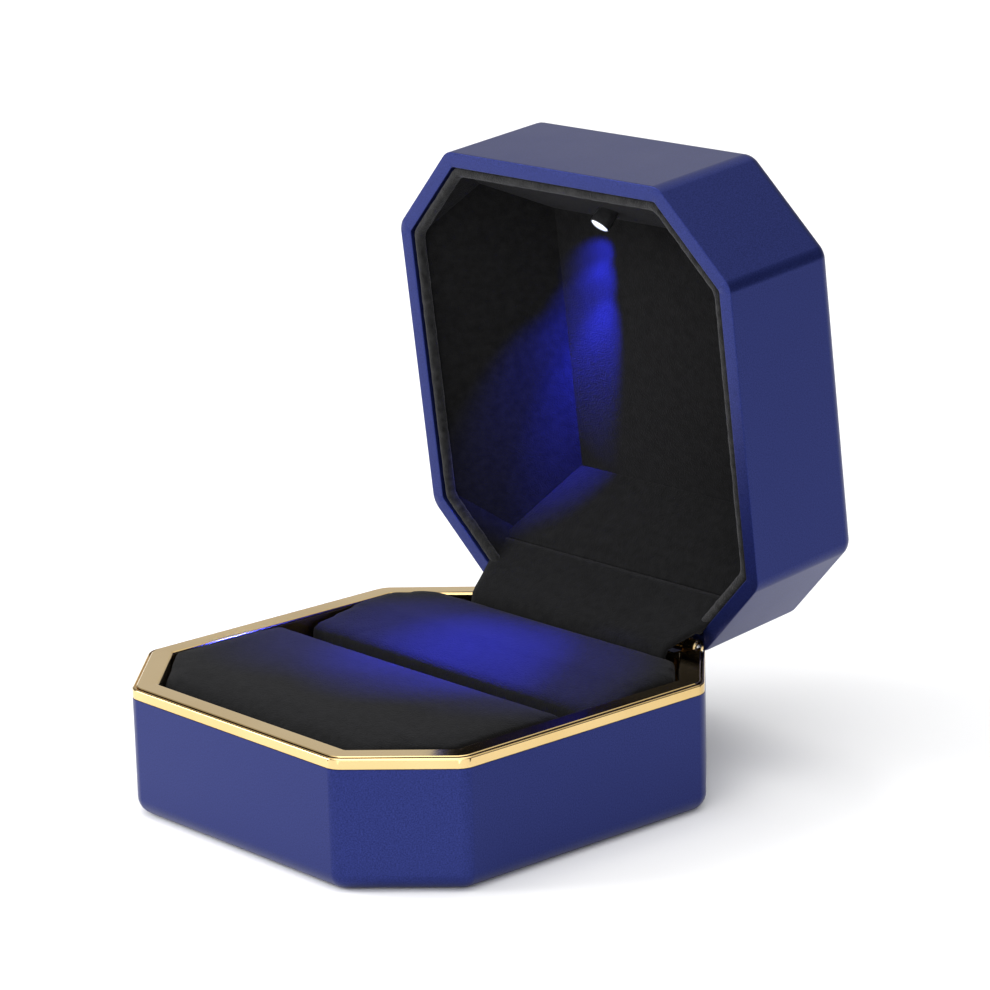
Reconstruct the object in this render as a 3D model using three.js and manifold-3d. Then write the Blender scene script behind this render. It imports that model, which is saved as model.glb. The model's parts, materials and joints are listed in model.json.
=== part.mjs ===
// An octagonal ring box with a light in its lid, standing open.
// Millimetres, +Z up. The origin is the middle of the base's underside, -Y is the front
// and the lid turns about a line along X at the back.
import * as THREE from "three";
import { mergeVertices } from "three/addons/utils/BufferGeometryUtils.js";
import { ConvexGeometry } from "three/addons/geometries/ConvexGeometry.js";
import Module from "manifold-3d";

const wasm = await Module();
wasm.setup();

// ---- Driving dimensions ----
const HALF = 35; // half the distance across the flats
const CORNER_CUT = 12.7; // leg of each corner that is cut off the square
const EDGE_RADIUS = 2.8; // rounding of the upright edges
const ROUND_STEPS = 4;
const GAP = 0.3; // clearance between neighbours
const REACH = 100; // longer than anything in the box, for cutting tools

// Base: shell, gold frame on its rim, and the padded insert
const BASE_HEIGHT = 17.5;
const FOOT_RADIUS = 2.6;
const BASE_WALL = 2.2;
const BASE_FLOOR = 2;
const LEDGE_HEIGHT = 8; // where the insert's board rests
const LEDGE_WIDTH = 1.4;
const FRAME_BOTTOM = BASE_HEIGHT + 0.1;
const FRAME_TOP = 19.2;
const FRAME_WIDTH = 3.8;
const FRAME_BEVEL = 0.45;
const SKIRT_BOTTOM = 11.5;
const SKIRT_INSET = BASE_WALL + 0.2;
const BOARD_THICKNESS = 1.2;
const PAD_BOTTOM = LEDGE_HEIGHT + BOARD_THICKNESS + 0.15;
const PAD_INSET = FRAME_WIDTH + GAP;
const PAD_BACK = 27.6;

// Lid, in its own frame: the middle of its opening, Z into the lid
const LID_GAP = 0.25; // between the closed lid and the frame
const LID_PLANE = FRAME_TOP + LID_GAP;
const LID_HEIGHT = 20.2;
const LID_RADIUS = 2.2;
const LID_WALL = 2.35;
const LID_TOP = 1.6;
const LINING_INSET = LID_WALL + GAP;
const LINING_THICKNESS = 1.2;
const LINING_START = 0.6;
const CEILING = { z: 15.5, side: 17.2, front: -22.9, back: 17.9, thickness: 0.8 };
const FOLD = { y: 28, z: 5.5 }; // where the cover over the hinge leaves the lining

// Hinges
const OPEN_ANGLE = THREE.MathUtils.degToRad(83.6);
const AXIS = { y: 33.9, z: 18.9 };
const PIN_RADIUS = 0.5;
const KNUCKLE_BORE = 0.65;
const KNUCKLE_RADIUS = 1.1;
const LEAF_THICKNESS = 0.6;
const HINGE_INNER = 12; // distances of the hinge's two ends from the middle of the box
const HINGE_OUTER = 22;
const LEAF_OUTER = 20.6;
const LOWER_LEAF_Y = 30.3;
const UPPER_LEAF_Y = 31.7;
const LOWER_SCREW_Z = 14.2;
const UPPER_SCREW_Z = 3.8;
const SCREW_POSITIONS = [14, 18.6];
const SCREW_RADIUS = 0.6;
const SCREW_HEAD = { radius: 1.2, height: 0.55 };
const NOTCH = { inner: 11.6, outer: 22.8 };

// Light: lamp and holder, board, coin cell and switch
const LAMP = { y: -24.2, z: 8.7, radius: 1.5, length: 5 };
const CELL = { y: -3, radius: 10, bottom: 16.72, thickness: 1.6 };
const PLUNGER = { y: 31.9, radius: 0.5, tip: -1.1, collar: 0.85 };
const SWITCH = { half: 2.4, front: 30, back: 33.3, bottom: 3.2, top: 8.2 };

// ---- Shape tools ----
function solidFrom(geometry) {
  const plain = geometry.clone();
  plain.deleteAttribute("normal");
  plain.deleteAttribute("uv");
  const merged = mergeVertices(plain, 1e-4);
  const mesh = new wasm.Mesh({
    numProp: 3,
    vertProperties: merged.attributes.position.array,
    triVerts: new Uint32Array(merged.index.array),
  });
  return new wasm.Manifold(mesh);
}

function geometryFrom(solid) {
  const mesh = solid.getMesh();
  const geometry = new THREE.BufferGeometry();
  geometry.setAttribute("position", new THREE.BufferAttribute(mesh.vertProperties, 3));
  geometry.setIndex(new THREE.BufferAttribute(mesh.triVerts, 1));
  geometry.computeVertexNormals();
  return geometry;
}

function joined(solids) {
  return solids.reduce((whole, solid) => whole.add(solid));
}

function block(x0, x1, y0, y1, z0, z1) {
  const geometry = new THREE.BoxGeometry(x1 - x0, y1 - y0, z1 - z0);
  geometry.translate((x0 + x1) / 2, (y0 + y1) / 2, (z0 + z1) / 2);
  return solidFrom(geometry);
}

// The same block on both sides of the box's middle plane.
function blockPair(x0, x1, y0, y1, z0, z1) {
  return block(x0, x1, y0, y1, z0, z1).add(block(-x1, -x0, y0, y1, z0, z1));
}

function rodX(x0, x1, y, z, radius, sides = 16) {
  const geometry = new THREE.CylinderGeometry(radius, radius, x1 - x0, sides);
  geometry.rotateZ(Math.PI / 2);
  geometry.translate((x0 + x1) / 2, y, z);
  return solidFrom(geometry);
}

function rodY(x, y0, y1, z, radius, sides = 12) {
  const geometry = new THREE.CylinderGeometry(radius, radius, y1 - y0, sides);
  geometry.translate(x, (y0 + y1) / 2, z);
  return solidFrom(geometry);
}

function rodZ(x, y, z0, z1, radius, sides = 16) {
  const geometry = new THREE.CylinderGeometry(radius, radius, z1 - z0, sides);
  geometry.rotateX(Math.PI / 2);
  geometry.translate(x, y, (z0 + z1) / 2);
  return solidFrom(geometry);
}

// A polygon with each corner rounded to the radius.
function roundedShape(corners, radius) {
  const shape = new THREE.Shape();
  corners.forEach((corner, i) => {
    const back = corners.at(i - 1).clone().sub(corner).normalize();
    const on = corners[(i + 1) % corners.length].clone().sub(corner).normalize();
    const reach = radius / Math.tan(Math.acos(back.dot(on)) / 2);
    const start = corner.clone().addScaledVector(back, reach);
    const end = corner.clone().addScaledVector(on, reach);
    if (i === 0) shape.moveTo(start.x, start.y);
    else shape.lineTo(start.x, start.y);
    shape.quadraticCurveTo(corner.x, corner.y, end.x, end.y);
  });
  shape.closePath();
  return shape;
}

// The box's plan, moved in from the outside by inset.
function octagon(inset, radius = EDGE_RADIUS) {
  const half = HALF - inset;
  const cut = half - (CORNER_CUT - inset * (2 - Math.SQRT2));
  const corners = [
    [-cut, -half],
    [cut, -half],
    [half, -cut],
    [half, cut],
    [cut, half],
    [-cut, half],
    [-half, cut],
    [-half, -cut],
  ].map(([x, y]) => new THREE.Vector2(x, y));
  return roundedShape(corners, radius);
}

// A shape drawn in X and Y and raised along Z, with both its ends rounded by bevel.
function prism(shape, bottom, top, bevel = 0, bevelSegments = ROUND_STEPS) {
  const geometry = new THREE.ExtrudeGeometry(shape, {
    depth: top - bottom - 2 * bevel,
    bevelEnabled: bevel > 0,
    bevelThickness: bevel,
    bevelSize: bevel,
    bevelOffset: -bevel,
    bevelSegments,
    curveSegments: ROUND_STEPS,
  });
  geometry.translate(0, 0, bottom + bevel);
  return solidFrom(geometry);
}

// A profile drawn in Y and Z, carried along X.
function barX(profile, x0, x1) {
  const shape = new THREE.Shape(profile.map(([y, z]) => new THREE.Vector2(y, z)));
  const geometry = new THREE.ExtrudeGeometry(shape, { depth: x1 - x0, bevelEnabled: false });
  const turn = new THREE.Matrix4().makeBasis(
    new THREE.Vector3(0, 1, 0),
    new THREE.Vector3(0, 0, 1),
    new THREE.Vector3(1, 0, 0),
  );
  geometry.applyMatrix4(turn);
  geometry.translate(x0, 0, 0);
  return solidFrom(geometry);
}

// A bent strip of one thickness, as a closed profile around its middle line.
function stripProfile(line, thickness) {
  const points = line.map(([y, z]) => new THREE.Vector2(y, z));
  const sides = points.map((point, i) => {
    const before = points[Math.max(i - 1, 0)];
    const after = points[Math.min(i + 1, points.length - 1)];
    const along = after.clone().sub(before).normalize();
    return new THREE.Vector2(-along.y, along.x).multiplyScalar(thickness / 2);
  });
  const left = points.map((point, i) => point.clone().add(sides[i]));
  const right = points.map((point, i) => point.clone().sub(sides[i]));
  return [...left, ...right.reverse()].map((point) => [point.x, point.y]);
}

function wireSolid(points, radius, steps) {
  const path = new THREE.CatmullRomCurve3(points, false, "centripetal");
  const section = new THREE.Shape();
  section.absarc(0, 0, radius, 0, 2 * Math.PI);
  const geometry = new THREE.ExtrudeGeometry(section, {
    extrudePath: path,
    steps,
    curveSegments: 3,
    bevelEnabled: false,
  });
  return solidFrom(geometry);
}

function finish(color, roughness, metalness = 0) {
  return new THREE.MeshStandardMaterial({ color, roughness, metalness });
}

function addPart(group, name, solid, material) {
  const mesh = new THREE.Mesh(geometryFrom(solid), material);
  mesh.name = name;
  group.add(mesh);
}

const lacquer = () => finish(0x2a2f7c, 0.35, 0.4);
const gold = () => finish(0xd9b25c, 0.15, 1);
const velvet = () => finish(0x17171b, 0.95);
const steel = () => finish(0xb9bcc2, 0.3, 1);
const blackPlastic = () => finish(0x101012, 0.4);

// ---- Base ----
function baseShell() {
  const blank = prism(octagon(0), 0, BASE_HEIGHT + FOOT_RADIUS, FOOT_RADIUS);
  const above = block(-REACH, REACH, -REACH, REACH, BASE_HEIGHT, REACH);
  const well = prism(octagon(BASE_WALL + LEDGE_WIDTH, 1), BASE_FLOOR, LEDGE_HEIGHT + 1);
  const mouth = prism(octagon(BASE_WALL, 1), LEDGE_HEIGHT, BASE_HEIGHT + 1);
  return blank.subtract(above).subtract(well.add(mouth));
}

// Electroplated frame: a flat top with a bevel outside, and a skirt that plugs into the shell.
function rimFrame() {
  const blank = prism(octagon(0), FRAME_BOTTOM - 1, FRAME_TOP, FRAME_BEVEL, 1);
  const flange = blank.subtract(block(-REACH, REACH, -REACH, REACH, 0, FRAME_BOTTOM));
  const skirt = prism(octagon(SKIRT_INSET, 1), SKIRT_BOTTOM, FRAME_BOTTOM + 0.2);
  const land = block(-3, 3, 29.6, HALF - FRAME_WIDTH + 0.2, 16.8, FRAME_TOP);
  const hole = prism(octagon(FRAME_WIDTH, 1), 0, REACH);
  const relief = block(-23.4, 23.4, 33.7, REACH, FRAME_BOTTOM, REACH);
  const notches = blockPair(NOTCH.inner, NOTCH.outer, 30.2, REACH, BASE_HEIGHT, REACH);
  const holes = screwPlaces().map((x) => rodY(x, 30, 33, LOWER_SCREW_Z, SCREW_RADIUS + GAP));
  const ring = flange.add(skirt).subtract(hole).add(land);
  return ring.subtract(joined([relief, notches, ...holes]));
}

function padBoard() {
  const bottom = LEDGE_HEIGHT + 0.05;
  return prism(octagon(BASE_WALL + GAP, 1), bottom, bottom + BOARD_THICKNESS);
}

function padFrom(profile) {
  const plan = prism(octagon(PAD_INSET, 2), 0, REACH);
  return barX(profile, -HALF, HALF).intersect(plan);
}

// The front roll ends in a sharp lip over the ring slot; the rear one rises to the back.
function frontPad() {
  return padFrom([
    [-HALF, PAD_BOTTOM],
    [-0.3, PAD_BOTTOM],
    [-0.3, 18.8],
    [-0.8, 19.3],
    [-10, 19.7],
    [-24, 19.5],
    [-28.6, 19.1],
    [-30.9, 17.6],
    [-HALF, 17.2],
  ]);
}

function rearPad() {
  return padFrom([
    [4.6, PAD_BOTTOM],
    [PAD_BACK, PAD_BOTTOM],
    [PAD_BACK, 18.6],
    [26.6, 19.7],
    [24, 20.2],
    [15, 19.7],
    [7.5, 18.7],
    [4.6, 17.2],
  ]);
}

// ---- Hinges: two alike, one near each end of the back ----
function screwPlaces() {
  return SCREW_POSITIONS.flatMap((x) => [x, -x]);
}

// Knuckle tubes over the given stretches of X, each with its tab to the leaf.
function knuckles(side, stretches, axisZ, tabFront, tabLow, tabHigh) {
  const pieces = stretches.map(([x0, x1]) => {
    const [low, high] = side > 0 ? [x0, x1] : [-x1, -x0];
    const tab = block(low, high, tabFront, AXIS.y - 0.5, tabLow, tabHigh);
    return rodX(low, high, AXIS.y, axisZ, KNUCKLE_RADIUS).add(tab);
  });
  return joined(pieces).subtract(rodX(-HALF, HALF, AXIS.y, axisZ, KNUCKLE_BORE));
}

function lowerLeaf(side) {
  const [x0, x1] = side > 0 ? [HINGE_INNER, LEAF_OUTER] : [-LEAF_OUTER, -HINGE_INNER];
  const back = LOWER_LEAF_Y + LEAF_THICKNESS;
  const plate = block(x0, x1, LOWER_LEAF_Y, back, 11.8, 18.4);
  const stretches = [
    [HINGE_INNER, 14],
    [20, HINGE_OUTER],
  ];
  const leaf = plate.add(knuckles(side, stretches, AXIS.z, LOWER_LEAF_Y, 17.8, 18.4));
  const holes = SCREW_POSITIONS.map((x) =>
    rodY(side * x, 29, 32, LOWER_SCREW_Z, SCREW_RADIUS + GAP),
  );
  return leaf.subtract(joined(holes));
}

function upperLeaf(side) {
  const [x0, x1] = side > 0 ? [HINGE_INNER, LEAF_OUTER] : [-LEAF_OUTER, -HINGE_INNER];
  const axisZ = AXIS.z - LID_PLANE;
  const plate = block(x0, x1, UPPER_LEAF_Y, UPPER_LEAF_Y + LEAF_THICKNESS, 0.75, 6.4);
  const leaf = plate.add(knuckles(side, [[17.3, 19.7]], axisZ, UPPER_LEAF_Y, -0.15, 0.8));
  const holes = SCREW_POSITIONS.map((x) =>
    rodY(side * x, 31, 33, UPPER_SCREW_Z, SCREW_RADIUS + GAP),
  );
  return leaf.subtract(joined(holes));
}

function hingePin(side) {
  const [x0, x1] = side > 0 ? [11.8, 22.2] : [-22.2, -11.8];
  return rodX(x0, x1, AXIS.y, AXIS.z, PIN_RADIUS);
}

// A screw along Y: its head in front at headFront, its point at tip.
function screw(x, z, headFront, tip) {
  const under = headFront + SCREW_HEAD.height;
  const head = rodY(x, headFront, under, z, SCREW_HEAD.radius);
  return head.add(rodY(x, under - 0.1, tip, z, SCREW_RADIUS));
}

// Torsion spring round the pin: one leg lies on the base, the other lifts the open lid.
function hingeSpring(side) {
  const coilRadius = 0.85;
  const turns = 4;
  const first = -Math.PI / 2;
  const last = Math.PI / 2 - OPEN_ANGLE + turns * 2 * Math.PI;
  const count = turns * 12;
  const points = [new THREE.Vector3(side * 14.55, AXIS.y - 2.6, AXIS.z - coilRadius)];
  points.push(new THREE.Vector3(side * 14.55, AXIS.y - 1.2, AXIS.z - coilRadius));
  for (let i = 0; i <= count; i += 1) {
    const angle = first + ((last - first) * i) / count;
    const y = AXIS.y + coilRadius * Math.cos(angle);
    const z = AXIS.z + coilRadius * Math.sin(angle);
    points.push(new THREE.Vector3(side * (14.6 + (2.1 * i) / count), y, z));
  }
  const end = points.at(-1);
  const way = new THREE.Vector3(0, -Math.cos(OPEN_ANGLE), Math.sin(OPEN_ANGLE));
  points.push(end.clone().addScaledVector(way, 1.2));
  points.push(end.clone().addScaledVector(way, 2.3));
  return wireSolid(points, 0.17, 80);
}

// ---- Lid ----
function lidShell() {
  const blank = prism(octagon(0), -LID_RADIUS - 1, LID_HEIGHT, LID_RADIUS);
  const below = block(-REACH, REACH, -REACH, REACH, -REACH, 0);
  const cavity = prism(octagon(LID_WALL, 1), -1, LID_HEIGHT - LID_TOP);
  const notches = blockPair(NOTCH.inner, NOTCH.outer, UPPER_LEAF_Y - GAP, REACH, -1, 1);
  const pocket = block(-3, 3, 30, 33.65, 2, 9);
  const holes = screwPlaces().map((x) => rodY(x, 32, 34.1, UPPER_SCREW_Z, SCREW_RADIUS + GAP));
  return blank.subtract(joined([below, cavity, notches, pocket, ...holes]));
}

// The solid between the lid's octagonal opening and its rectangular ceiling.
function funnel(inset, bottom, side, front, back, top) {
  const rim = octagon(inset, 1).getPoints(ROUND_STEPS);
  const points = rim.map((point) => new THREE.Vector3(point.x, point.y, bottom));
  [-side, side].forEach((x) => {
    [front, back].forEach((y) => points.push(new THREE.Vector3(x, y, top)));
  });
  return solidFrom(new ConvexGeometry(points));
}

// Plan of the cover over the hinge, which widens from the ceiling to the opening.
function coverPlan(grow) {
  const spread = 0.92;
  const near = CEILING.back - 0.3 - grow;
  const far = HALF;
  const width = (y) => CEILING.side + 0.2 + grow + spread * (y - CEILING.back);
  return new THREE.Shape([
    new THREE.Vector2(-width(near), near),
    new THREE.Vector2(width(near), near),
    new THREE.Vector2(width(far), far),
    new THREE.Vector2(-width(far), far),
  ]);
}

// Velvet-covered card on the front, the two sides and the cut corners.
function sideLining() {
  const { side, front, back, z } = CEILING;
  const grow = LINING_THICKNESS;
  const outside = funnel(LINING_INSET, LINING_START, side + grow, front - grow, back + grow, z + 1);
  const inside = funnel(LINING_INSET + grow, LINING_START - 0.05, side, front, back, z);
  const above = block(-REACH, REACH, -REACH, REACH, z - 0.25, REACH);
  const cover = prism(coverPlan(GAP), -1, REACH);
  const lampHole = new THREE.CylinderGeometry(2.7, 2.7, 8, 16);
  lampHole.rotateX(Math.PI / 2);
  lampHole.applyMatrix4(lampFrame());
  return outside.subtract(inside).subtract(joined([above, cover, solidFrom(lampHole)]));
}

function ceilingBoard() {
  const { side, front, back, z, thickness } = CEILING;
  return block(-side - 1, side + 1, front - 1, back + 1, z, z + thickness);
}

function hingeCover() {
  const slab = barX(
    [
      [FOLD.y, FOLD.z],
      [FOLD.y + 0.7, FOLD.z + 0.7],
      [CEILING.back + 0.98, CEILING.z - 0.25],
      [CEILING.back + 0.25, CEILING.z - 0.25],
    ],
    -HALF,
    HALF,
  );
  const plan = prism(coverPlan(0), 0, REACH);
  return slab.intersect(plan).intersect(prism(octagon(LINING_INSET, 1), 0, REACH));
}

// The soft flap that hides the hinge: from behind the rear pad up to the cover's fold.
function velvetFlap() {
  const line = [
    [28.4, 12.5],
    [28.4, 18.6],
    [29, 20],
    [38.7, 25.1],
  ];
  return barX(stripProfile(line, 0.8), -22.4, 22.4);
}

// ---- Light ----
// The lamp's frame in the lid: its tip at the origin, +Z the way it shines.
function lampFrame() {
  const run = HALF - LINING_INSET - LINING_THICKNESS + CEILING.front;
  const slope = Math.atan2(CEILING.z - LINING_START, run);
  const frame = new THREE.Matrix4().makeRotationX(slope - Math.PI);
  frame.setPosition(0, LAMP.y, LAMP.z);
  return frame;
}

function lamp() {
  const { radius, length } = LAMP;
  const profile = [new THREE.Vector2(0, -length), new THREE.Vector2(radius, -length)];
  const steps = 5;
  for (let i = 0; i <= steps; i += 1) {
    const angle = (i / steps) * (Math.PI / 2);
    profile.push(new THREE.Vector2(radius * Math.cos(angle), radius * Math.sin(angle) - radius));
  }
  const geometry = new THREE.LatheGeometry(profile, 16);
  geometry.rotateX(Math.PI / 2);
  return solidFrom(geometry);
}

function lampHolder() {
  const tube = rodZ(0, 0, -4.4, -0.9, 2.4);
  const flange = rodZ(0, 0, -2, -1.5, 2.9);
  return tube.add(flange).subtract(rodZ(0, 0, -6, 1, LAMP.radius + GAP));
}

function coinCell() {
  const can = rodZ(0, CELL.y, CELL.bottom + 0.2, CELL.bottom + CELL.thickness, CELL.radius, 40);
  const cap = rodZ(0, CELL.y, CELL.bottom, CELL.bottom + 0.3, CELL.radius - 1.4, 40);
  return can.add(cap);
}

function cellHolder() {
  const ring = rodZ(0, CELL.y, 16.7, 18.3, CELL.radius + 2, 40);
  const bore = rodZ(0, CELL.y, 16, 19, CELL.radius + 0.35, 40);
  const contactSlot = block(-2.4, 2.4, CELL.y - 13, CELL.y - CELL.radius + 2, 16, 19);
  return ring.subtract(bore).subtract(contactSlot);
}

function cellContactSide() {
  return block(-2, 2, CELL.y - CELL.radius - 0.4, CELL.y - CELL.radius - 0.2, 16.8, 18.2);
}

function cellContactUnder() {
  return block(-1.5, 1.5, CELL.y, CELL.y + 12.3, 16.42, 16.6);
}

// Switch worked by the closing lid: its plunger meets the gold frame.
function switchBody() {
  const { half, front, back, bottom, top } = SWITCH;
  const bore = rodZ(0, PLUNGER.y, bottom - 1, bottom + 1, PLUNGER.radius + GAP);
  const chamber = rodZ(0, PLUNGER.y, bottom + 0.6, top - 0.7, PLUNGER.collar + 0.35);
  return block(-half, half, front, back, bottom, top).subtract(bore.add(chamber));
}

function switchPlunger() {
  const stem = rodZ(0, PLUNGER.y, PLUNGER.tip, 4.6, PLUNGER.radius);
  return stem.add(rodZ(0, PLUNGER.y, 4.15, 4.9, PLUNGER.collar));
}

function plungerSpring() {
  const turns = 4;
  const count = turns * 10;
  const points = [];
  for (let i = 0; i <= count; i += 1) {
    const angle = (turns * 2 * Math.PI * i) / count;
    const x = 0.62 * Math.cos(angle);
    const y = PLUNGER.y + 0.62 * Math.sin(angle);
    points.push(new THREE.Vector3(x, y, 5.15 + (2.1 * i) / count));
  }
  return wireSolid(points, 0.12, 56);
}

function lead(points) {
  return wireSolid(points.map(([x, y, z]) => new THREE.Vector3(x, y, z)), 0.35, 28);
}

const LEADS = {
  cell_to_lamp_lead: [
    [0, -13.8, 17.5],
    [1.6, -17, 17.5],
    [3.2, -22.5, 17.4],
    [3.4, -26.6, 16.6],
    [3.3, -29, 14.6],
    [3.2, -30.4, 13],
  ],
  cell_to_switch_lead: [
    [0, 9.8, 17.1],
    [0.4, 13, 17.5],
    [1, 17.5, 17.6],
    [1.3, 22.5, 16.6],
    [1.3, 27.5, 13],
    [1.3, 31, 8.7],
  ],
  switch_to_lamp_lead: [
    [-1.3, 31, 8.7],
    [-1.4, 27.5, 13],
    [-3, 22.5, 16.8],
    [-9, 15.5, 17.5],
    [-14, 8, 17.5],
    [-15, -3, 17.5],
    [-13, -15, 17.5],
    [-7, -22.5, 17.4],
    [-3.8, -26.6, 16.6],
    [-3.3, -29, 14.6],
    [-3.2, -30.4, 13],
  ],
};

// ---- Assembly ----
const box = new THREE.Group();
addPart(box, "base_shell", baseShell(), lacquer());
addPart(box, "rim_frame", rimFrame(), gold());
addPart(box, "pad_board", padBoard(), finish(0x8c7a5e, 0.9));
addPart(box, "front_pad", frontPad(), velvet());
addPart(box, "rear_pad", rearPad(), velvet());
addPart(box, "velvet_flap", velvetFlap(), velvet());

const lid = new THREE.Group(); // turns about the hinge line
lid.position.set(0, AXIS.y, AXIS.z);
lid.rotation.x = -OPEN_ANGLE;
box.add(lid);

const lidParts = new THREE.Group(); // the lid's own frame
lidParts.position.set(0, -AXIS.y, LID_PLANE - AXIS.z);
lid.add(lidParts);
addPart(lidParts, "lid_shell", lidShell(), lacquer());
addPart(lidParts, "side_lining", sideLining(), velvet());
addPart(lidParts, "ceiling_board", ceilingBoard(), velvet());
addPart(lidParts, "hinge_cover", hingeCover(), velvet());

for (const [name, side] of [["left", -1], ["right", 1]]) {
  addPart(box, `lower_leaf_${name}`, lowerLeaf(side), gold());
  addPart(box, `hinge_pin_${name}`, hingePin(side), steel());
  addPart(box, `hinge_spring_${name}`, hingeSpring(side), steel());
  addPart(lidParts, `upper_leaf_${name}`, upperLeaf(side), gold());
  SCREW_POSITIONS.forEach((x, i) => {
    const lower = screw(side * x, LOWER_SCREW_Z, LOWER_LEAF_Y - 0.65, 32.4);
    const upper = screw(side * x, UPPER_SCREW_Z, UPPER_LEAF_Y - 0.65, 33.8);
    addPart(box, `lower_screw_${name}_${i + 1}`, lower, steel());
    addPart(lidParts, `upper_screw_${name}_${i + 1}`, upper, steel());
  });
}

const lampParts = new THREE.Group(); // the lamp's frame in the lid
lampParts.applyMatrix4(lampFrame());
lidParts.add(lampParts);
addPart(lampParts, "led_lamp", lamp(), finish(0xf2f6ff, 0.1));
addPart(lampParts, "led_holder", lampHolder(), blackPlastic());
addPart(lampParts, "led_board", block(-4.5, 4.5, -2.3, 2.3, -6, -5.2), finish(0x1f5a34, 0.5));
addPart(lampParts, "led_resistor", block(-1, 1, -0.6, 0.6, -6.75, -6.15), blackPlastic());

addPart(lidParts, "coin_cell", coinCell(), steel());
addPart(lidParts, "cell_holder", cellHolder(), blackPlastic());
addPart(lidParts, "cell_contact_side", cellContactSide(), gold());
addPart(lidParts, "cell_contact_under", cellContactUnder(), gold());
addPart(lidParts, "switch_body", switchBody(), blackPlastic());
addPart(lidParts, "switch_plunger", switchPlunger(), finish(0xe8e6e0, 0.4));
addPart(lidParts, "plunger_spring", plungerSpring(), steel());
for (const [name, points] of Object.entries(LEADS)) {
  addPart(lidParts, name, lead(points), finish(name.startsWith("cell") ? 0xa02020 : 0x101010, 0.5));
}

export default box;
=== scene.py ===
# An octagonal ring box in blue lacquer with a gold rim, standing open: a velvet insert with one
# ring slot in its base, and a velvet-lined lid with a small light. Metres, in the frame of the
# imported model: +Z up, -Y to the front.
import json
import math

import bmesh
import bpy
from mathutils import Matrix, Vector, noise

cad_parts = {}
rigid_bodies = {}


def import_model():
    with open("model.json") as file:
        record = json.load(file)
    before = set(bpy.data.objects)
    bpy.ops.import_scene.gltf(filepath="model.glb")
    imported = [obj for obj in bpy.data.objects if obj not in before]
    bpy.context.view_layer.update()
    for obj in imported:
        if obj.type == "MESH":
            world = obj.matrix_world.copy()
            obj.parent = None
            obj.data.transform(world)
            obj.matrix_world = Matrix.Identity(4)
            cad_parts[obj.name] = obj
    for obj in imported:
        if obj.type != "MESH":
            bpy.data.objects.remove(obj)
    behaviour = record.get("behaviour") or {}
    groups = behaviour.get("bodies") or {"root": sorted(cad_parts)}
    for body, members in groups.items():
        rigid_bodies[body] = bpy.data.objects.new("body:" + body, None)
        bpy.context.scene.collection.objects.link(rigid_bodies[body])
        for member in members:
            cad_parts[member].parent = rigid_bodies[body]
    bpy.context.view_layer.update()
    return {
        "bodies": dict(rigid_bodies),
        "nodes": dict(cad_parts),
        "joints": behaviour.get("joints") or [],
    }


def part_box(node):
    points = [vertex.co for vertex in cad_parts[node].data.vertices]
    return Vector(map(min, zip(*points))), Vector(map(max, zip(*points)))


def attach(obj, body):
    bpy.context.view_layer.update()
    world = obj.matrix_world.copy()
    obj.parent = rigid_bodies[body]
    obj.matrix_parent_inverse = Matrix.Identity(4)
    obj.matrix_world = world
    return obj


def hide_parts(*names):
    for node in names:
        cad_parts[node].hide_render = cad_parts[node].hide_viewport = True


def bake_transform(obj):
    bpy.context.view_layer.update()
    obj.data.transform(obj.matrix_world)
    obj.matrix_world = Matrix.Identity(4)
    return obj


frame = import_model()
scene = bpy.context.scene


# ---- Camera ----
# A long lens, a little above the rim and off the front right corner.
CAMERA_PLACE = (0.40321, -0.34027, 0.18568)
CAMERA_AZIMUTH, CAMERA_ELEVATION, CAMERA_ROLL = 48.62, 15.02, -1.59

camera = bpy.data.objects.new("camera", bpy.data.cameras.new("camera"))
camera.data.sensor_width = 36
camera.data.angle = math.radians(14.602)
camera.data.clip_start, camera.data.clip_end = 0.05, 20
camera.matrix_world = (
    Matrix.Translation(CAMERA_PLACE)
    @ Matrix.Rotation(math.radians(CAMERA_AZIMUTH), 4, "Z")
    @ Matrix.Rotation(math.radians(90 - CAMERA_ELEVATION), 4, "X")
    @ Matrix.Rotation(math.radians(CAMERA_ROLL), 4, "Z")
)
scene.collection.objects.link(camera)
scene.camera = camera


# ---- Base shell ----
# The lower half of the box: one octagonal tray with softly rounded edges. It is moulded and
# sprayed with a blue pearl lacquer under a clear coat. Everything below is drawn in
# millimetres and made metres when its mesh is finished.
MM = 0.001
base_high = Vector(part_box("base_shell")[1]) / MM
HALF_WIDTH = base_high.x
CORNER_CUT = 12.7
CORNER_TANGENT = 1.15  # how far the rounding of an upright edge reaches along its faces
BASE_FOOT_RADIUS = 2.7
BASE_WALL = 2.3
BASE_FLOOR = 2.0


def nodes_of(material):
    return material.node_tree.nodes, material.node_tree.links.new


def finish_of(name, colour, roughness, **sockets):
    """A new material and its shader, with the values that are the same all over."""
    material = bpy.data.materials.new(name)
    material.use_nodes = True
    shader = material.node_tree.nodes["Principled BSDF"]
    shader.inputs["Base Color"].default_value = (*colour, 1)
    shader.inputs["Roughness"].default_value = roughness
    for key, value in sockets.items():
        shader.inputs[key.replace("_", " ")].default_value = value
    return material, shader


def add_noise(material, scale, detail=3.0, stretch=(1, 1, 1)):
    """A noise pattern that stays on the piece; returns its node."""
    nodes, link = nodes_of(material)
    place = nodes.new("ShaderNodeTexCoord")
    mapping = nodes.new("ShaderNodeMapping")
    mapping.inputs["Scale"].default_value = stretch
    noise = nodes.new("ShaderNodeTexNoise")
    noise.inputs["Scale"].default_value = scale
    noise.inputs["Detail"].default_value = detail
    link(place.outputs["Object"], mapping.inputs["Vector"])
    link(mapping.outputs["Vector"], noise.inputs["Vector"])
    return noise


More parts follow.
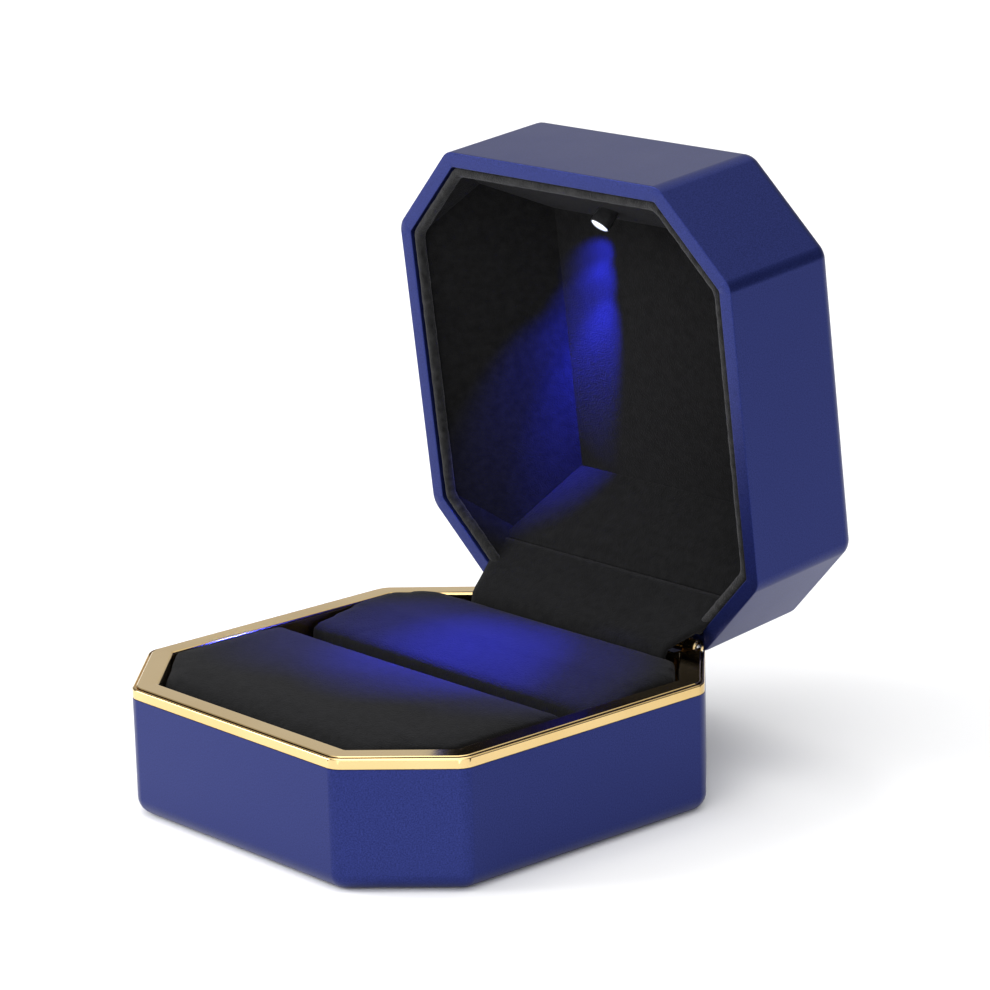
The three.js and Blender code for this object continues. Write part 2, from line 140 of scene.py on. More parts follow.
def vary_colour(material, shader, noise, dark, light, low=0.35, high=0.65):
    nodes, link = nodes_of(material)
    ramp = nodes.new("ShaderNodeValToRGB")
    ramp.color_ramp.elements[0].position = low
    ramp.color_ramp.elements[0].color = (*dark, 1)
    ramp.color_ramp.elements[1].position = high
    ramp.color_ramp.elements[1].color = (*light, 1)
    link(noise.outputs["Fac"], ramp.inputs["Fac"])
    link(ramp.outputs["Color"], shader.inputs["Base Color"])


def vary_roughness(material, shader, noise, low, high):
    nodes, link = nodes_of(material)
    span = nodes.new("ShaderNodeMapRange")
    span.inputs["To Min"].default_value = low
    span.inputs["To Max"].default_value = high
    link(noise.outputs["Fac"], span.inputs["Value"])
    link(span.outputs["Result"], shader.inputs["Roughness"])


def add_bump(material, shader, noise, depth, strength=1.0):
    """Raises the surface with the pattern, by at most depth in metres."""
    nodes, link = nodes_of(material)
    bump = nodes.new("ShaderNodeBump")
    bump.inputs["Strength"].default_value = strength
    bump.inputs["Distance"].default_value = depth
    link(noise.outputs["Fac"], bump.inputs["Height"])
    link(bump.outputs["Normal"], shader.inputs["Normal"])


def lacquer_finish():
    material, shader = finish_of(
        "blue_lacquer",
        (0.013, 0.022, 0.12),
        0.38,
        Metallic=0.8,
        Specular_IOR_Level=0.2,
        Coat_Weight=0.05,
        Coat_Roughness=0.2,
    )
    flake = add_noise(material, 5200, 2.0)
    vary_colour(material, shader, flake, (0.012, 0.0185, 0.1), (0.024, 0.0345, 0.17), 0.3, 0.75)
    cloud = add_noise(material, 60, 4.0)
    vary_roughness(material, shader, cloud, 0.33, 0.42)
    add_bump(material, shader, flake, 0.00001, 0.25)
    return material


def octagon_face(bm, inset, height):
    """The box's plan, moved in from the outside by inset, as one face."""
    half = HALF_WIDTH - inset
    flat = half - CORNER_CUT + inset * (2 - math.sqrt(2))
    front = [(-flat, -half), (flat, -half), (half, -flat), (half, flat)]
    corners = front + [(-x, -y) for x, y in front]
    return bm.faces.new([bm.verts.new((x, y, height)) for x, y in corners])


def face_at(bm, height):
    """The largest level face at that height."""
    level = [
        face for face in bm.faces if all(abs(v.co.z - height) < 1e-4 for v in face.verts)
    ]
    return max(level, key=lambda face: face.calc_area())


def push_face(bm, face, height):
    """Extrudes the face straight to that height; on a closed block it leaves no face behind."""
    inside = all(len(edge.link_faces) > 1 for edge in face.edges)
    made = bmesh.ops.extrude_face_region(bm, geom=[face])["geom"]
    for vert in (item for item in made if isinstance(item, bmesh.types.BMVert)):
        vert.co.z = height
    if inside:
        bmesh.ops.delete(bm, geom=[face], context="FACES_ONLY")


def round_edges(bm, edges, reach, segments):
    bmesh.ops.bevel(
        bm,
        geom=list(edges),
        offset=reach,
        segments=segments,
        profile=0.5,
        affect="EDGES",
        material=-1,
    )


def octagon_block(bottom, top, inset=0.0, tangent=CORNER_TANGENT, segments=8):
    """A closed octagonal block whose upright edges are rounded."""
    bm = bmesh.new()
    push_face(bm, octagon_face(bm, inset, bottom), top)
    if tangent:
        upright = [e for e in bm.edges if abs(e.verts[0].co.z - e.verts[1].co.z) > 1e-4]
        round_edges(bm, upright, tangent, segments)
    return bm


def add_piece(name, bm, material, place=None, sharp=32):
    """Makes the millimetre mesh a finished piece in metres, with its place in the mesh."""
    bmesh.ops.scale(bm, vec=(MM, MM, MM), verts=bm.verts)
    if place is not None:
        bmesh.ops.transform(bm, matrix=place, verts=bm.verts)
    bmesh.ops.recalc_face_normals(bm, faces=bm.faces)
    mesh = bpy.data.meshes.new(name)
    bm.to_mesh(mesh)
    bm.free()
    mesh.shade_smooth()
    mesh.set_sharp_from_angle(angle=math.radians(sharp))
    mesh.materials.append(material)
    piece = bpy.data.objects.new(name, mesh)
    scene.collection.objects.link(piece)
    return piece


def keep_flats_flat(piece):
    """Rounded edges shade smoothly while the flat faces beside them stay flat."""
    normals = piece.modifiers.new("normals", "WEIGHTED_NORMAL")
    normals.keep_sharp = True
    normals.weight = 100


def cut_boxes(bm, boxes):
    """Takes boxes, given by their low and high corners, out of a closed mesh."""
    work = bpy.data.objects.new("work", bpy.data.meshes.new("work"))
    bmesh.ops.recalc_face_normals(bm, faces=bm.faces)
    bm.to_mesh(work.data)
    scene.collection.objects.link(work)
    cutters = []
    for low, high in boxes:
        box_bm = bmesh.new()
        bmesh.ops.create_cube(box_bm, size=1)
        size = Vector(high) - Vector(low)
        bmesh.ops.scale(box_bm, vec=size, verts=box_bm.verts)
        bmesh.ops.translate(box_bm, vec=(Vector(low) + Vector(high)) / 2, verts=box_bm.verts)
        cutter = bpy.data.objects.new("cutter", bpy.data.meshes.new("cutter"))
        box_bm.to_mesh(cutter.data)
        box_bm.free()
        scene.collection.objects.link(cutter)
        cut = work.modifiers.new("cut", "BOOLEAN")
        cut.operation, cut.solver, cut.object = "DIFFERENCE", "EXACT", cutter
        cutters.append(cutter)
    shape = work.evaluated_get(bpy.context.evaluated_depsgraph_get()).to_mesh()
    bm.clear()
    bm.from_mesh(shape)
    for item in [work, *cutters]:
        bpy.data.objects.remove(item)


lacquer = lacquer_finish()

shell = octagon_block(0, base_high.z)
foot = [e for e in shell.edges if all(abs(v.co.z) < 1e-4 for v in e.verts)]
round_edges(shell, foot, BASE_FOOT_RADIUS, 8)
rim = face_at(shell, base_high.z)
bmesh.ops.inset_region(shell, faces=[rim], thickness=BASE_WALL, use_even_offset=True)
push_face(shell, face_at(shell, base_high.z), BASE_FLOOR)
base_shell = add_piece("base_tray", shell, lacquer)
keep_flats_flat(base_shell)
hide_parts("base_shell")
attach(base_shell, "base")


# ---- Gold frame ----
# Plated frame that caps the base: a flat polished top with a rolled inner edge, and a narrow
# ledge round the outside with a shallow groove between the two. Its skirt plugs into the tray,
# and its back is cut away for the lid and the hinges.
rim_low, rim_high = (corner / MM for corner in map(Vector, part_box("rim_frame")))
FRAME_BOTTOM = base_high.z + 0.1
FRAME_WIDTH = 3.8
SKIRT_INSET = 2.5
GROOVE_OUT, GROOVE_IN, GROOVE_DEPTH = 0.28, 0.6, 0.6
HINGE_NOTCH = (11.6, 22.8)  # from the middle of the box to the sides of each hinge's notch
NOTCH_START = 30.2
BACK_CUT_HALF, BACK_CUT_START = 23.4, 33.7
PAST_THE_BOX = (40, 25)  # a depth and a height beyond any part of the base


def gold_finish():
    material, shader = finish_of("gold_plating", (0.72, 0.52, 0.24), 0.12, Metallic=1.0)
    haze = add_noise(material, 220, 4.0)
    vary_roughness(material, shader, haze, 0.07, 0.16)
    tone = add_noise(material, 45, 2.0)
    vary_colour(material, shader, tone, (0.66, 0.46, 0.19), (0.76, 0.56, 0.27), 0.3, 0.7)
    ripple = add_noise(material, 130, 1.0)
    add_bump(material, shader, ripple, 0.00002, 0.2)
    return material


gold = gold_finish()


def octagon_loop(bm, inset, height, radius, steps):
    """The plan as a closed line with each corner rounded; returns its edges."""
    face = octagon_face(bm, inset, height)
    bmesh.ops.bevel(
        bm,
        geom=list(face.verts),
        offset=radius * math.tan(math.pi / 8),
        segments=steps,
        profile=0.5,
        affect="VERTICES",
        material=-1,
    )
    face = next(iter(bm.faces))
    edges = list(face.edges)
    bmesh.ops.delete(bm, geom=[face], context="FACES_ONLY")
    return edges


def octagon_ring(section, steps):
    """A closed ring round the plan; section lists inset, height and corner radius."""
    bm = bmesh.new()
    loops = [octagon_loop(bm, inset, height, radius, steps) for inset, height, radius in section]
    for near, far in zip(loops, loops[1:] + loops[:1]):
        for low, high in zip(near, far):
            bm.faces.new((low.verts[0], low.verts[1], high.verts[1], high.verts[0]))
    return bm


rim = octagon_ring(
    [
        (0, FRAME_BOTTOM, 2.8),
        (0, rim_high.z - 0.4, 2.8),
        (0.07, rim_high.z - 0.28, 2.77),
        (GROOVE_OUT, rim_high.z - 0.16, 2.68),
        (GROOVE_OUT, rim_high.z - GROOVE_DEPTH, 2.68),
        (GROOVE_IN, rim_high.z - GROOVE_DEPTH, 2.55),
        (GROOVE_IN, rim_high.z - 0.1, 2.55),
        (0.74, rim_high.z, 2.49),
        (FRAME_WIDTH - 0.5, rim_high.z, 0.7),
        (FRAME_WIDTH - 0.25, rim_high.z - 0.07, 0.6),
        (FRAME_WIDTH - 0.07, rim_high.z - 0.25, 0.5),
        (FRAME_WIDTH, rim_high.z - 0.5, 0.45),
        (FRAME_WIDTH, rim_low.z, 0.45),
        (SKIRT_INSET, rim_low.z, 1.2),
        (SKIRT_INSET, FRAME_BOTTOM, 1.2),
    ],
    6,
)
cut_boxes(
    rim,
    [
        ((-BACK_CUT_HALF, BACK_CUT_START, FRAME_BOTTOM - 1), (BACK_CUT_HALF, *PAST_THE_BOX)),
        ((HINGE_NOTCH[0], NOTCH_START, FRAME_BOTTOM - 0.1), (HINGE_NOTCH[1], *PAST_THE_BOX)),
        ((-HINGE_NOTCH[1], NOTCH_START, FRAME_BOTTOM - 0.1), (-HINGE_NOTCH[0], *PAST_THE_BOX)),
    ],
)
gold_frame = add_piece("gold_frame", rim, gold)
keep_flats_flat(gold_frame)
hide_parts("rim_frame")
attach(gold_frame, "base")


# ---- Pads ----
# Two foam pads wrapped in black velvet, glued on a board. The front one ends in a straight lip
# and the back one starts lower behind it, so that the gap between them grips a ring.
PAD_INSET = FRAME_WIDTH + 0.1
PAD_SWELL = 0.35
PAD_GRID = 0.62
SIM_SCALE = 20  # the cloth is solved larger than life, where the solver is steady


def velvet_finish(name, dark, light, sheen):
    material, shader = finish_of(
        name,
        (0.006, 0.006, 0.006),
        0.92,
        Sheen_Weight=sheen,
        Sheen_Roughness=0.5,
        Sheen_Tint=(0.8, 0.8, 0.86, 1),
        Specular_IOR_Level=0.1,
    )
    nap = add_noise(material, 900, 4.0)
    vary_colour(material, shader, nap, dark, light, 0.3, 0.75)
    pile = add_noise(material, 4200, 2.0)
    add_bump(material, shader, pile, 0.00018, 0.8)
    return material


velvet = velvet_finish("black_velvet", (0.0026, 0.0026, 0.0027), (0.0065, 0.0065, 0.0068), 0.038)


def bar_along_x(profile, x0, x1):
    """A closed bar: the profile, in Y and Z, carried along X."""
    bm = bmesh.new()
    end = bm.faces.new([bm.verts.new((x0, y, z)) for y, z in profile])
    made = bmesh.ops.extrude_face_region(bm, geom=[end])["geom"]
    for vert in (item for item in made if isinstance(item, bmesh.types.BMVert)):
        vert.co.x = x1
    return bm


def trim(bm, point, outward):
    """Cuts off all that lies past the plane and closes the cut."""
    everything = bm.verts[:] + bm.edges[:] + bm.faces[:]
    cut = bmesh.ops.bisect_plane(
        bm, geom=everything, plane_co=point, plane_no=outward, clear_outer=True, dist=1e-5
    )["geom_cut"]
    edges = [item for item in cut if isinstance(item, bmesh.types.BMEdge)]
    if edges:
        bmesh.ops.contextual_create(bm, geom=edges)


def trim_corners(bm, inset):
    """Cuts the four corners off along the box's plan."""
    middle = (HALF_WIDTH - inset + HALF_WIDTH - inset - (CORNER_CUT - inset * (2 - math.sqrt(2)))) / 2
    for x, y in [(1, -1), (1, 1), (-1, 1), (-1, -1)]:
        trim(bm, (x * middle, y * middle, 0), (x, y, 0))


def stuff(bm, voxel, swell, pressure=4.0):
    """Blows the closed shape up as cloth round its filling, by at most swell."""
    bmesh.ops.recalc_face_normals(bm, faces=bm.faces)
    bmesh.ops.scale(bm, vec=(MM * SIM_SCALE,) * 3, verts=bm.verts)
    cloth = bpy.data.objects.new("cloth", bpy.data.meshes.new("cloth"))
    bm.to_mesh(cloth.data)
    scene.collection.objects.link(cloth)
    remesh = cloth.modifiers.new("remesh", "REMESH")
    remesh.mode, remesh.voxel_size = "VOXEL", voxel * MM * SIM_SCALE
    depsgraph = bpy.context.evaluated_depsgraph_get()
    grid = bpy.data.meshes.new_from_object(cloth.evaluated_get(depsgraph))
    cloth.modifiers.clear()
    cloth.data = grid
    start = [vert.co.copy() for vert in grid.vertices]
    solver = cloth.modifiers.new("cloth", "CLOTH")
    solver.settings.use_pressure = True
    solver.settings.uniform_pressure_force = pressure
    solver.settings.effector_weights.gravity = 0
    for number in range(1, 21):
        scene.frame_set(number)
    depsgraph = bpy.context.evaluated_depsgraph_get()
    blown = cloth.evaluated_get(depsgraph).to_mesh()
    limit = swell * MM * SIM_SCALE
    for vert, home, moved in zip(grid.vertices, start, blown.vertices):
        step = moved.co - home
        if step.length > limit:
            step *= limit / step.length
        vert.co = home + step
    cloth.modifiers.clear()
    scene.frame_set(1)
    bm.clear()
    bm.from_mesh(cloth.data)
    bpy.data.objects.remove(cloth)
    bmesh.ops.scale(bm, vec=(1 / (MM * SIM_SCALE),) * 3, verts=bm.verts)
    for _ in range(2):
        bmesh.ops.smooth_vert(
            bm, verts=bm.verts, factor=0.5, use_axis_x=True, use_axis_y=True, use_axis_z=True
        )
    return bm


def add_pad(name, profile, node):
    bm = bar_along_x(profile, PAD_INSET - HALF_WIDTH, HALF_WIDTH - PAD_INSET)
    trim_corners(bm, PAD_INSET)
    pad = add_piece(name, stuff(bm, PAD_GRID, PAD_SWELL), velvet, sharp=180)
    soften = pad.modifiers.new("soften", "SUBSURF")
    soften.levels = soften.render_levels = 1
    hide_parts(node)
    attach(pad, "base")


pad_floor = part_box("front_pad")[0][2] / MM + 0.3
add_pad(
    "front_cushion",
    [
        (-30.6, pad_floor),
        (-0.7, pad_floor),
        (-0.7, 18.7),
        (-1.0, 19.1),
        (-10, 19.4),
        (-24, 19.3),
        (-28.4, 18.9),
        (-30.0, 18.1),
        (-30.6, 16.8),
    ],
    "front_pad",
)
add_pad(
    "rear_cushion",
    [
        (4.4, pad_floor),
        (27.1, pad_floor),
        (27.1, 18.2),
        (26.2, 19.3),
        (24, 19.9),
        (14, 19.5),
        (8, 18.4),
        (5.2, 17.9),
        (4.4, 17.3),
    ],
    "rear_pad",
)


# ---- Lid shell ----
# The upper half: the same octagon, deeper than the base, in the same lacquer. It is drawn shut,
# from the middle of its opening with Z into the lid, and stands open on its hinge line.
hinge_joint = next(j for j in frame["joints"] if j["name"] == "lid_hinge")
HINGE_LINE = Vector(hinge_joint["pos_m"])
OPEN_ANGLE = math.radians(hinge_joint["range_deg"][1])
LID_GAP = 0.25
LID_DEPTH = 20.2
LID_RADIUS = 2.2
LID_WALL = 2.34
LID_TOP = 1.6
lid_place = (
    Matrix.Translation(HINGE_LINE)
    @ Matrix.Rotation(-OPEN_ANGLE, 4, "X")
    @ Matrix.Translation(-HINGE_LINE)
    @ Matrix.Translation((0, 0, (rim_high.z + LID_GAP) * MM))
)

cap = octagon_block(0, LID_DEPTH)
crown = [e for e in cap.edges if all(abs(v.co.z - LID_DEPTH) < 1e-4 for v in e.verts)]
round_edges(cap, crown, LID_RADIUS, 8)
mouth = face_at(cap, 0)
bmesh.ops.inset_region(cap, faces=[mouth], thickness=LID_WALL, use_even_offset=True)
push_face(cap, face_at(cap, 0), LID_DEPTH - LID_TOP)
lip = [
    e
    for e in cap.edges
    if all(abs(v.co.z) < 1e-4 for v in e.verts) and abs(e.calc_face_angle(0)) > 1
]
round_edges(cap, lip, 0.22, 2)
cut_boxes(
    cap,
    [
        ((HINGE_NOTCH[0], 31.4, -1), (HINGE_NOTCH[1], 40, 1)),
        ((-HINGE_NOTCH[1], 31.4, -1), (-HINGE_NOTCH[0], 40, 1)),
        ((-3, 30, 2), (3, 33.65, 9)),
    ],
)
lid_shell = add_piece("lid_cap", cap, lacquer, lid_place)
keep_flats_flat(lid_shell)
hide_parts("lid_shell")
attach(lid_shell, "lid")


# ---- Lid lining ----
# Velvet-covered card on the front, the two sides and the cut corners of the lid. The card
# slopes in to a smaller ceiling, and its edge is rolled into a soft bead behind the lid's lip.
CEILING_Z = 15.5
CEILING_SIDE, CEILING_FRONT, CEILING_BACK = 17.2, -22.9, 17.9
WALL_START = 1.0
SIDE_START, FRONT_START = 32.4, -32.2
CARD = 0.9
LINING_INSET = LID_WALL + CARD + 0.1


def slope_normal(run, rise):
    """Outward direction, across and up, of a wall that goes in by run over rise."""
    return Vector((rise, run)).normalized()


lining = octagon_block(0.9, CEILING_Z + 0.4, LINING_INSET, tangent=0.8, segments=4)
rise = CEILING_Z - WALL_START
across, up = slope_normal(SIDE_START - CEILING_SIDE, rise)
trim(lining, (SIDE_START, 0, WALL_START), (across, 0, up))
trim(lining, (-SIDE_START, 0, WALL_START), (-across, 0, up))
across, up = slope_normal(CEILING_FRONT - FRONT_START, rise)
trim(lining, (0, FRONT_START, WALL_START), (0, -across, up))
lining.normal_update()
bmesh.ops.recalc_face_normals(lining, faces=lining.faces)
open_faces = [f for f in lining.faces if abs(f.normal.z) > 0.99 or f.normal.y > 0.99]
bmesh.ops.delete(lining, geom=open_faces, context="FACES")
bmesh.ops.recalc_face_normals(lining, faces=lining.faces)
bmesh.ops.solidify(lining, geom=lining.faces[:], thickness=-CARD)
lid_lining = add_piece("lid_lining", lining, velvet, lid_place, sharp=25)
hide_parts("side_lining")
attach(lid_lining, "lid")

BEAD_RADIUS = 0.78
BEAD_WAVE = 0.08  # the hand-rolled edge is a little uneven
BEAD_SEED = 7  # without a seed the waves would differ each time
# The bead is the lining's own velvet, given a lighter colour here: a painted sheen for the light that
# its rolled edge catches.
velvet_with_painted_sheen = velvet_finish("velvet_with_painted_sheen", (0.006, 0.006, 0.006), (0.022, 0.022, 0.022), 0.14)
middle_inset, middle_height = LID_WALL + BEAD_RADIUS + 0.03, BEAD_RADIUS + 0.25
section = [
    (
        middle_inset + BEAD_RADIUS * math.cos(angle),
        middle_height + BEAD_RADIUS * math.sin(angle),
        2.2,
    )
    for angle in (math.radians(24 * step) for step in range(15))
]
bead = octagon_ring(section, 5)
long_edges = [e for e in bead.edges if e.calc_length() > 8]
bmesh.ops.subdivide_edges(bead, edges=long_edges, cuts=40)
noise.seed_set(BEAD_SEED)
for vert in bead.verts:
    vert.co += noise.noise_vector(vert.co * 1.4) * BEAD_WAVE
lining_bead = add_piece("lining_bead", bead, velvet_with_painted_sheen, lid_place, sharp=60)
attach(lining_bead, "lid")

ceiling = bmesh.new()
bmesh.ops.create_cube(ceiling, size=1)
bmesh.ops.scale(
    ceiling, vec=(2 * CEILING_SIDE + 1.6, CEILING_BACK - CEILING_FRONT + 1.6, 0.9), verts=ceiling.verts
)
bmesh.ops.translate(
    ceiling, vec=(0, (CEILING_FRONT + CEILING_BACK) / 2, CEILING_Z + 0.45), verts=ceiling.verts
)
round_edges(ceiling, list(ceiling.edges), 0.3, 3)
lid_ceiling = add_piece("lid_ceiling", ceiling, velvet, lid_place)
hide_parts("ceiling_board")
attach(lid_ceiling, "lid")


# ---- Cover over the hinge ----
# A velvet card that slopes from the ceiling down to the fold where the flap begins.
FOLD_Y, FOLD_Z, FOLD_HALF = 28.0, 5.5, 26.2

cover = bmesh.new()
cover.faces.new(
    [
        cover.verts.new((x, y, z))
        for x, y, z in [
            (-CEILING_SIDE - 0.3, CEILING_BACK, CEILING_Z),
            (CEILING_SIDE + 0.3, CEILING_BACK, CEILING_Z),
            (FOLD_HALF, FOLD_Y, FOLD_Z),
            (-FOLD_HALF, FOLD_Y, FOLD_Z),
        ]
    ]
)
made = bmesh.ops.extrude_face_region(cover, geom=cover.faces[:])["geom"]
bmesh.ops.translate(
    cover,
    vec=(0, 0.6, 0.6),
    verts=[item for item in made if isinstance(item, bmesh.types.BMVert)],
)
round_edges(cover, list(cover.edges), 0.25, 3)
hinge_cover = add_piece("hinge_cover_card", cover, velvet, lid_place)
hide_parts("hinge_cover")
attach(hinge_cover, "lid")


# ---- Velvet flap ----
# A loose strip of velvet from behind the rear pad up to that fold. It hides the hinge, and is drawn as
# one fixed, curved sheet from the base up to the lid.
FLAP_THICKNESS = 0.6
FLAP_HALF_LOW, FLAP_HALF_HIGH = 20.8, 25.8
fold = lid_place @ (Vector((0, FOLD_Y + 0.1, FOLD_Z - 0.3)) * MM) / MM
FLAP_LINE = [(28.2, 13.0), (28.2, 18.6), (28.6, 19.6), (29.6, 20.4), (fold.y, fold.z)]

strip = bmesh.new()
rail = []
for (y0, z0), (y1, z1), parts in zip(FLAP_LINE, FLAP_LINE[1:], [6, 2, 2, 14]):
    for part in range(parts):
        share = part / parts
        rail.append((y0 + (y1 - y0) * share, z0 + (z1 - z0) * share))
rail.append(FLAP_LINE[-1])
line = [strip.verts.new((0, y, z)) for y, z in rail]
spine = [strip.edges.new(pair) for pair in zip(line, line[1:])]
COLUMNS = 48
bmesh.ops.translate(strip, vec=(-1, 0, 0), verts=line)
edges = spine
for _ in range(COLUMNS):
    made = bmesh.ops.extrude_edge_only(strip, edges=edges)["geom"]
    moved = [item for item in made if isinstance(item, bmesh.types.BMVert)]
    edges = [item for item in made if isinstance(item, bmesh.types.BMEdge)]
    bmesh.ops.translate(strip, vec=(2 / COLUMNS, 0, 0), verts=moved)
for vert in strip.verts:
    share = max(0.0, min(1.0, (vert.co.y - 28.2) / (fold.y - 28.2)))
    half = FLAP_HALF_LOW + (FLAP_HALF_HIGH - FLAP_HALF_LOW) * share
    sag = 0.35 * math.sin(math.pi * share)
    ripple = 0.12 * math.sin(7 * vert.co.x + 4 * share) * math.sin(math.pi * share)
    vert.co = (vert.co.x * half, vert.co.y, vert.co.z - sag + ripple)
flap = add_piece("hinge_flap", strip, velvet, sharp=80)
solid = flap.modifiers.new("cloth", "SOLIDIFY")
solid.thickness, solid.offset = FLAP_THICKNESS * MM, 0
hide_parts("velvet_flap")
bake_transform(flap)


# ---- Lamp ----
# A small clear lamp in a black ring, pressed through the front of the lining.
lens_middle = Vector((0, -24.2, 8.7))
LAMP_AIM = Vector((-0.08, 0.66, -0.75)).normalized()
LENS_RADIUS, TUBE_RADIUS, TUBE_BACK = 1.35, 1.58, 1.4
lamp_frame = (
    lid_place
    @ Matrix.Translation(lens_middle * MM)
    @ LAMP_AIM.to_track_quat("Z", "Y").to_matrix().to_4x4()
)


def lens_finish():
    material, shader = finish_of(
        "lamp_lens",
        (0.9, 0.95, 1.0),
        0.06,
        Transmission_Weight=0.6,
        Coat_Weight=1.0,
        Emission_Color=(0.75, 0.82, 1.0, 1),
        Emission_Strength=0.9,
    )
    cloud = add_noise(material, 900, 2.0)
    vary_colour(material, shader, cloud, (0.75, 0.82, 0.95), (0.95, 0.97, 1.0))
    return material


def plastic_finish(name, dark, light, roughness):
    material, shader = finish_of(name, dark, roughness)
    grain = add_noise(material, 1800, 3.0)
    vary_colour(material, shader, grain, dark, light)
    vary_roughness(material, shader, grain, roughness * 0.8, roughness * 1.2)
    add_bump(material, shader, grain, 0.00003, 0.4)
    return material


black_plastic = plastic_finish("black_plastic", (0.008, 0.008, 0.009), (0.02, 0.02, 0.022), 0.35)


def turned(profile, steps=40):
    """A turned piece: the profile, as radius and height, spun round Z."""
    bm = bmesh.new()
    line = [bm.verts.new((r, 0, z)) for r, z in profile]
    edges = [bm.edges.new(pair) for pair in zip(line, line[1:])]
    bmesh.ops.spin(
        bm,
        geom=line + edges,
        axis=(0, 0, 1),
        cent=(0, 0, 0),
        angle=2 * math.pi,
        steps=steps,
        use_merge=True,
    )
    bmesh.ops.remove_doubles(bm, verts=bm.verts, dist=1e-4)
    return bm


lens = turned(
    [
        (0, -3),
        (TUBE_BACK - 0.15, -3),
        (LENS_RADIUS, -0.6),
        (LENS_RADIUS, 0),
        (LENS_RADIUS - 0.12, 0.1),
        (0.9, 0.24),
        (0.5, 0.3),
        (0, 0.32),
    ]
)
lamp = add_piece("lamp_lens", lens, lens_finish(), lamp_frame, sharp=50)
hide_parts("led_lamp")
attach(lamp, "lid")

ring = turned(
    [
        (TUBE_BACK - 0.09, -3.4),
        (TUBE_BACK, -3.4),
        (TUBE_RADIUS, -0.9),
        (TUBE_RADIUS, -0.05),
        (TUBE_RADIUS - 0.08, 0.06),
        (LENS_RADIUS + 0.12, 0.08),
        (LENS_RADIUS + 0.06, 0),
        (LENS_RADIUS + 0.06, -0.6),
        (TUBE_BACK - 0.09, -3.4),
    ]
)
lamp_ring = add_piece("lamp_tube", ring, black_plastic, lamp_frame)
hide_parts("led_holder")
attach(lamp_ring, "lid")


# ---- Hinges, cell, switch and wiring ----
# The hardware hidden behind the lining keeps its built shapes and gets its own finishes.
def metal_finish(name, colour, roughness):
    material, shader = finish_of(name, colour, roughness, Metallic=1.0)
    brush = add_noise(material, 900, 3.0, (0.08, 1, 1))
    vary_roughness(material, shader, brush, roughness * 0.7, roughness * 1.4)
    dark = tuple(0.85 * part for part in colour)
    vary_colour(material, shader, brush, dark, colour)
    add_bump(material, shader, brush, 0.00001, 0.3)
    return material


steel = metal_finish("steel", (0.66, 0.67, 0.69), 0.25)
brass = metal_finish("brass", (0.86, 0.64, 0.32), 0.2)
white_plastic = plastic_finish("white_plastic", (0.7, 0.69, 0.66), (0.8, 0.79, 0.76), 0.35)
board_green = plastic_finish("board_green", (0.02, 0.13, 0.05), (0.04, 0.2, 0.08), 0.3)
red_cover = plastic_finish("red_cover", (0.35, 0.012, 0.012), (0.5, 0.03, 0.02), 0.4)
black_cover = plastic_finish("black_cover", (0.01, 0.01, 0.01), (0.025, 0.025, 0.025), 0.45)


def card_finish():
    material, shader = finish_of("grey_card", (0.3, 0.26, 0.2), 0.9)
    fibre = add_noise(material, 700, 5.0, (1, 0.3, 1))
    vary_colour(material, shader, fibre, (0.26, 0.22, 0.17), (0.4, 0.35, 0.27))
    add_bump(material, shader, fibre, 0.00006, 0.6)
    return material


HARDWARE = {
    "lower_leaf": brass,
    "upper_leaf": brass,
    "cell_contact": brass,
    "hinge_pin": steel,
    "hinge_spring": steel,
    "lower_screw": steel,
    "upper_screw": steel,
    "plunger_spring": steel,
    "coin_cell": steel,
    "cell_holder": black_plastic,
    "switch_body": black_plastic,
    "led_resistor": black_plastic,
    "led_board": board_green,
    "switch_plunger": white_plastic,
    "cell_to": red_cover,
    "switch_to": black_cover,
    "pad_board": card_finish(),
}
for name, node in frame["nodes"].items():
    for start, material in HARDWARE.items():
        if name.startswith(start):
            node.data.materials.clear()
            node.data.materials.append(material)


# ---- The lamp's light ----
# Seven spots stand in for the one lamp: four shine across the lid onto its ceiling and one side
# and three down onto the pads. Each starts just clear of the lamp's tube, and is given by that
# start from the lens, where it is aimed, its power and its angle.
BEAMS = {
    "beam_far": ((-0.5, 2.3, 1.0), (-14.8, 6.6, 15.5), 1.35, 30),
    "beam_side": ((-0.5, 2.3, 1.0), (-18.1, 1.9, 12.0), 0.6, 34),
    "beam_mid": ((-0.5, 2.3, 1.0), (-19.2, 0.2, 20.0), 0.45, 36),
    "beam_near": ((-0.5, 2.3, 1.0), (-21.8, -7.5, 25.2), 0.2, 34),
    "glow_slot": ((0, 0.6, -0.7), (0, 31.7, -28.4), 3.2, 36),
    "glow_left": ((0, 0.6, -0.7), (-14, 30.7, -28.3), 1.8, 36),
    "glow_right": ((0, 0.6, -0.7), (12, 31.1, -24.3), 0.9, 36),
}
for name, (start, aim, power, angle) in BEAMS.items():
    data = bpy.data.lights.new(name, "SPOT")
    data.energy, data.color = power, (0.02, 0.03, 1.0)
    data.spot_size, data.spot_blend = math.radians(angle), 1.0
    data.shadow_soft_size = 0.0004
    light = bpy.data.objects.new(name, data)
    place = lid_place @ ((lens_middle + Vector(start)) * MM)
    target = lid_place @ (Vector(aim) * MM)
    turn = (target - place).to_track_quat("-Z", "Y").to_matrix().to_4x4()
    scene.collection.objects.link(light)
    light.parent = frame["bodies"]["lid"]
    light.matrix_parent_inverse = Matrix.Identity(4)
    light.matrix_world = Matrix.Translation(place) @ turn


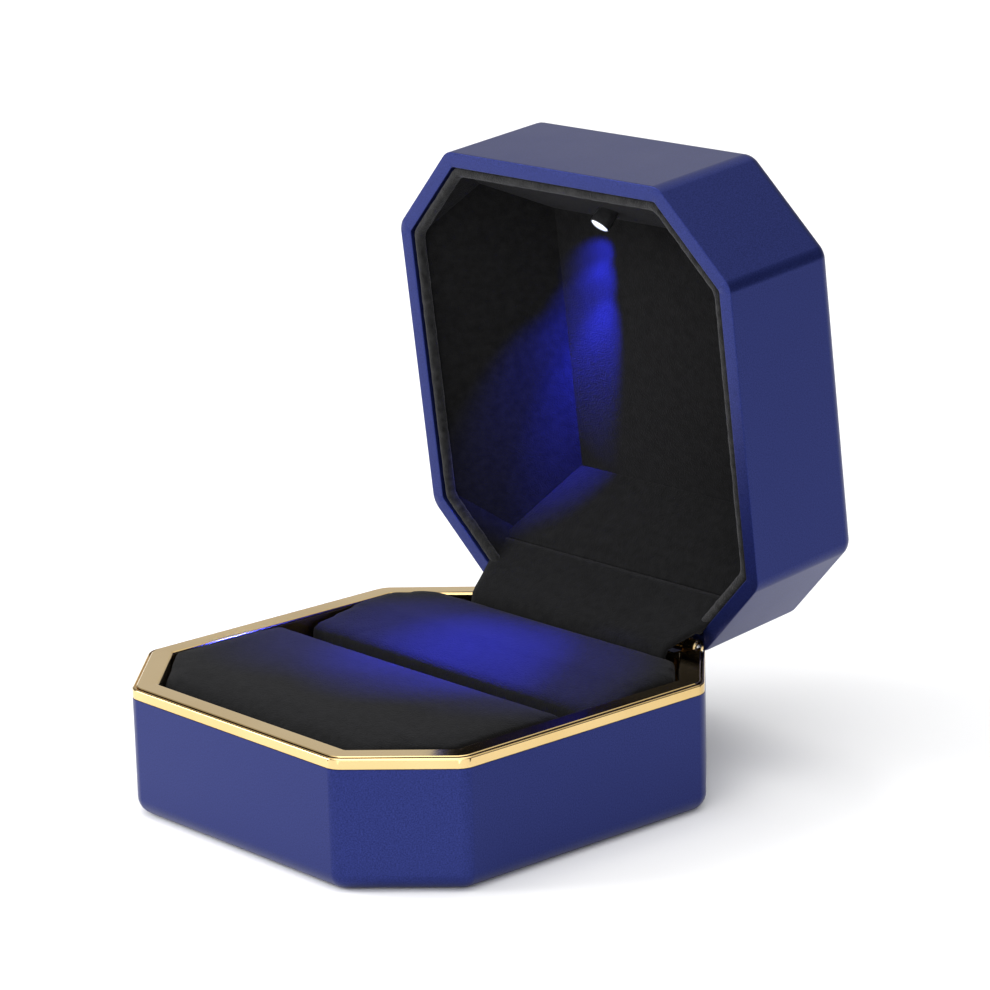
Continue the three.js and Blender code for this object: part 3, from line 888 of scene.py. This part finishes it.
# ---- Studio ----
# A plain white table and room, with a large soft light from the left.
floor_bm = bmesh.new()
bmesh.ops.create_grid(floor_bm, x_segments=1, y_segments=1, size=4000)
floor_material, floor_shader = finish_of("table_white", (0.92, 0.92, 0.92), 0.7)
floor_noise = add_noise(floor_material, 8, 2.0)
vary_colour(floor_material, floor_shader, floor_noise, (0.915, 0.915, 0.915), (0.925, 0.925, 0.925))
floor = add_piece("table", floor_bm, floor_material)

room = bpy.data.worlds.new("room")
scene.world = room
room.use_nodes = True
nodes, link = room.node_tree.nodes, room.node_tree.links.new
direction = nodes.new("ShaderNodeTexCoord")
WINDOWS = [((0.7, -0.7, 0.2), 3.3), ((-0.7, 0.7, 0.2), 0.7), ((0, 0, 1), 2.2)]
WINDOW_FALLOFF = 4
total = None
for toward, strength in WINDOWS:
    facing = nodes.new("ShaderNodeVectorMath")
    facing.operation = "DOT_PRODUCT"
    facing.inputs[1].default_value = Vector(toward).normalized()
    link(direction.outputs["Generated"], facing.inputs[0])
    steps = []
    for operation, value in [("MAXIMUM", 0), ("POWER", WINDOW_FALLOFF), ("MULTIPLY", strength)]:
        step = nodes.new("ShaderNodeMath")
        step.operation = operation
        step.inputs[1].default_value = value
        link(steps[-1].outputs[0] if steps else facing.outputs["Value"], step.inputs[0])
        steps.append(step)
    if total is not None:
        added = nodes.new("ShaderNodeMath")
        link(total, added.inputs[0])
        link(steps[-1].outputs[0], added.inputs[1])
        steps.append(added)
    total = steps[-1].outputs[0]
link(total, nodes["Background"].inputs["Strength"])
nodes["Background"].inputs["Color"].default_value = (1, 1, 1, 1)


def add_softbox(name, place, size, power):
    data = bpy.data.lights.new(name, "AREA")
    data.shape, data.size, data.energy = "SQUARE", size, power
    light = bpy.data.objects.new(name, data)
    aim = Vector((0, 0.01, 0.03)) - Vector(place)
    light.matrix_world = Matrix.Translation(place) @ aim.to_track_quat("-Z", "Y").to_matrix().to_4x4()
    scene.collection.objects.link(light)


add_softbox("overhead", (-0.12, -0.3, 1.1), 0.45, 0.9)
add_softbox("left", (-0.6, -0.6, 0.45), 0.5, 7.7)
scene.view_settings.view_transform = "Standard"
